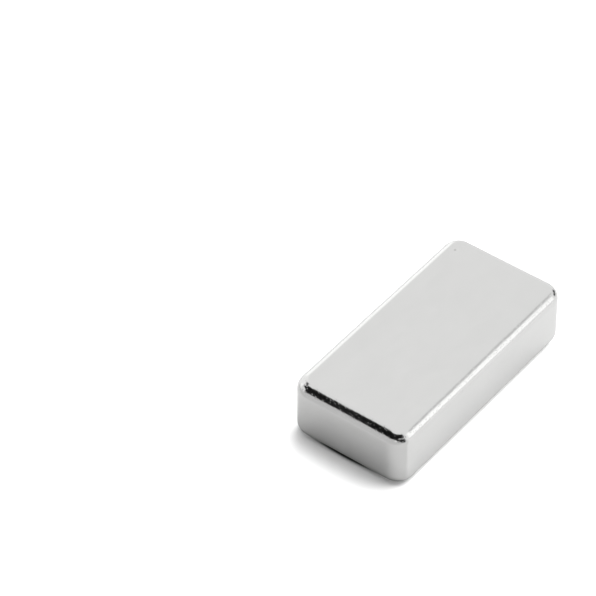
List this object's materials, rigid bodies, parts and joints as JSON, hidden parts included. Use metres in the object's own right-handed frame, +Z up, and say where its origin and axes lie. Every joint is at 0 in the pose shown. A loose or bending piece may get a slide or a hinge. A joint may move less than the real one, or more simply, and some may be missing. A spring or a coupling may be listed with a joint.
{
  "type": "block magnet",
  "caption": "Small rectangular neodymium block magnet, bright nickel plated, with rolled edges, rounded upright corners and two flat pole faces.",
  "frame": {"origin": "centre of the bottom pole face, on the surface that the block rests on", "axes": "+X along the length, +Y across the width, +Z up through the thickness, which is the direction of magnetisation"},
  "size_m": [0.02, 0.01, 0.005],
  "materials": {
    "nickel_plating": "bright nickel over a tumbled sintered block"
  },
  "bodies": {
    "root": {"magnet_block": "nickel_plating"}
  },
  "joints": []
}
